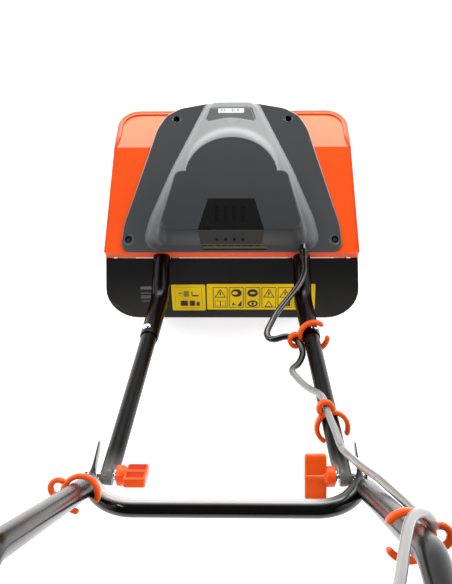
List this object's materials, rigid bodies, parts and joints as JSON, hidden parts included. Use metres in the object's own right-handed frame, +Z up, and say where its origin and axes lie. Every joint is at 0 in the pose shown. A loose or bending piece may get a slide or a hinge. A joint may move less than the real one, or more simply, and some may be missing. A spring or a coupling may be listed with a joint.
{
  "type": "single stage snow thrower",
  "caption": "Electric single-stage snow thrower with a ribbon rotor under a moulded hood, small transport wheels and a folding tubular push handle.",
  "frame": {"origin": "on the ground, below the centre of the machine's bounding box", "axes": "+X to the operator's right, +Y forward in the direction of travel, +Z up"},
  "size_m": [0.3897, 1.0114, 0.995],
  "materials": {
    "hood_orange": "glossy moulded plastic, faint flow marks",
    "cover_grey": "fine-grained dark grey plastic",
    "black_plastic": "satin black plastic",
    "tube_black": "gloss black powder coat on steel tube",
    "plate_orange": "orange powder coat on sheet steel",
    "plate_black": "black powder coat on sheet steel",
    "bright_steel": "turned steel",
    "zinc_chrome": "bright zinc and chrome plating",
    "motor_steel": "steel laminations and painted casing",
    "cast_alloy": "die-cast alloy",
    "paddle_rubber": "moulded rubber",
    "belt_rubber": "belt rubber",
    "tyre_rubber": "hard rubber tyre",
    "grip_foam": "closed-cell foam",
    "cable_black": "glossy rubber sheath",
    "knob_orange": "bright orange moulded plastic",
    "label_yellow": "printed vinyl label",
    "label_white": "printed vinyl label",
    "label_gold": "metallised label"
  },
  "bodies": {
    "chassis": {"hood": "hood_orange", "rear_panel": "black_plastic", "rotor_housing": "black_plastic", "bay_wall": "black_plastic", "side_plate_left": "plate_orange", "side_plate_right": "plate_orange", "scraper_blade": "black_plastic", "motor_cover": "cover_grey", "vent_grille": "black_plastic", "name_plate": "label_white", "cover_screws": "plate_black", "data_plate": "label_gold", "info_label_left": "label_yellow", "info_label_right": "label_yellow", "motor_casing": "motor_steel", "motor_cradle": "plate_black", "drive_belt": "belt_rubber", "rotor_bearing_left": "bright_steel", "rotor_bearing_right": "bright_steel", "frame_plate_left": "plate_black", "frame_plate_right": "plate_black", "wheel_axle": "bright_steel", "wheel_cap_left": "zinc_chrome", "wheel_cap_right": "zinc_chrome", "lower_sleeve_left": "tube_black", "lower_sleeve_right": "tube_black", "middle_tube_left": "tube_black", "middle_tube_right": "tube_black", "tube_screws": "zinc_chrome", "tube_nuts": "zinc_chrome", "cable_gland": "cable_black", "cable_lower": "cable_black", "cable_bend": "cable_black", "cable_clip_bend": "knob_orange", "cable_clip_middle": "knob_orange"},
    "rotor": {"rotor_pulley": "cast_alloy", "rotor_shaft": "bright_steel", "rotor_hub": "black_plastic", "rotor_paddles": "paddle_rubber"},
    "motor_rotor": {"armature": "motor_steel", "cooling_fan": "black_plastic", "motor_pulley": "cast_alloy"},
    "wheel_left": {"wheel_left": "black_plastic"},
    "wheel_right": {"wheel_right": "black_plastic"},
    "upper_frame": {"fold_bolts": "zinc_chrome", "fold_washers": "zinc_chrome", "cross_brace": "tube_black", "upper_handle": "tube_black", "foam_grip": "grip_foam", "switch_box_front": "black_plastic", "switch_box_rear": "black_plastic", "power_inlet": "black_plastic", "cable_upper": "cable_black", "cable_clip_left": "knob_orange", "cable_clip_right": "knob_orange"},
    "knob_left": {"knob_left": "knob_orange"},
    "knob_right": {"knob_right": "knob_orange"},
    "bail_lever": {"bail_lever": "knob_orange"},
    "lock_button": {"lock_button": "knob_orange"}
  },
  "joints": [
    {"name": "rotor_spin", "type": "hinge", "parent": "chassis", "child": "rotor", "pos_m": [0, 0.40876, 0.094], "axis": [1, 0, 0], "continuous": true},
    {"name": "motor_spin", "type": "hinge", "parent": "chassis", "child": "motor_rotor", "pos_m": [0, 0.31177, 0.2], "axis": [1, 0, 0], "continuous": true},
    {"name": "wheel_left_spin", "type": "hinge", "parent": "chassis", "child": "wheel_left", "pos_m": [-0.122, 0.26776, 0.046], "axis": [1, 0, 0], "continuous": true},
    {"name": "wheel_right_spin", "type": "hinge", "parent": "chassis", "child": "wheel_right", "pos_m": [0.122, 0.26776, 0.046], "axis": [1, 0, 0], "continuous": true},
    {"name": "handle_fold", "type": "hinge", "parent": "chassis", "child": "upper_frame", "pos_m": [0, -0.13935, 0.37356], "axis": [-1, 0, 0], "range_deg": [0, 110], "deforming": ["cable_bend"]},
    {"name": "knob_left_turn", "type": "hinge", "parent": "upper_frame", "child": "knob_left", "pos_m": [-0.11, -0.13935, 0.37356], "axis": [1, 0, 0], "continuous": true},
    {"name": "knob_right_turn", "type": "hinge", "parent": "upper_frame", "child": "knob_right", "pos_m": [0.11, -0.13935, 0.37356], "axis": [1, 0, 0], "continuous": true},
    {"name": "bail_squeeze", "type": "hinge", "parent": "upper_frame", "child": "bail_lever", "pos_m": [0.03, -0.45421, 0.92839], "axis": [1, 0, 0], "range_deg": [0, 14], "stiffness_Nm_per_rad": 1.2, "springref_deg": -14.32},
    {"name": "lock_press", "type": "slide", "parent": "upper_frame", "child": "lock_button", "axis": [0, -0.7083, -0.706], "range_m": [0, 0.004], "stiffness_N_per_m": 600, "springref_m": -0.002}
  ],
  "couplings": [
    {"joint": "motor_spin", "follows": "rotor_spin", "ratio": 4.5}
  ]
}
